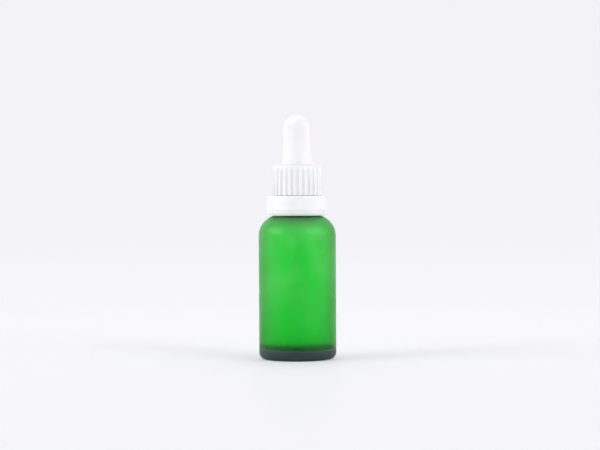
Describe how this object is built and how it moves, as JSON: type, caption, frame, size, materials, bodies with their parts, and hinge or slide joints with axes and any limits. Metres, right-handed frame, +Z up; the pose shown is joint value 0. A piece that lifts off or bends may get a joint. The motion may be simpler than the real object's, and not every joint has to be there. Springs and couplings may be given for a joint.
{
  "type": "dropper bottle",
  "caption": "Round glass dropper bottle with a tamper ring, ribbed screw cap, squeezable rubber bulb and drawn glass pipette.",
  "frame": {"origin": "centre of the bottle's base, on the plane it stands on", "axes": "+Z up the common axis, towards the rubber bulb; -Y faces the front"},
  "size_m": [0.033, 0.033, 0.1046],
  "materials": {
    "green_glass": "satin",
    "white_plastic": "satin",
    "white_rubber": "matte",
    "clear_glass": "polished"
  },
  "bodies": {
    "bottle": {"glass_bottle": "green_glass"},
    "ring": {"tamper_ring": "white_plastic"},
    "pipette": {"glass_pipette": "clear_glass"},
    "cap": {"screw_cap": "white_plastic"},
    "bulb": {"rubber_bulb": "white_rubber"}
  },
  "joints": [
    {"name": "cap_unscrew", "type": "hinge", "parent": "pipette", "child": "cap", "pos_m": [0, 0, 0.0705], "axis": [0, 0, 1], "range_deg": [0, 9000]},
    {"name": "dropper_lift", "type": "slide", "parent": "bottle", "child": "pipette", "axis": [0, 0, 1], "range_m": [0, 0.075]},
    {"name": "ring_turn", "type": "hinge", "parent": "bottle", "child": "ring", "pos_m": [0, 0, 0.0655], "axis": [0, 0, 1], "continuous": true},
    {"name": "bulb_squeeze", "type": "slide", "parent": "cap", "child": "bulb", "axis": [0, 1, 0], "range_m": [0, 0.0035], "stiffness_N_per_m": 500, "deforming": ["rubber_bulb"]}
  ],
  "couplings": [
    {"joint": "dropper_lift", "follows": "cap_unscrew", "m_per_rad": 0.00047746}
  ]
}
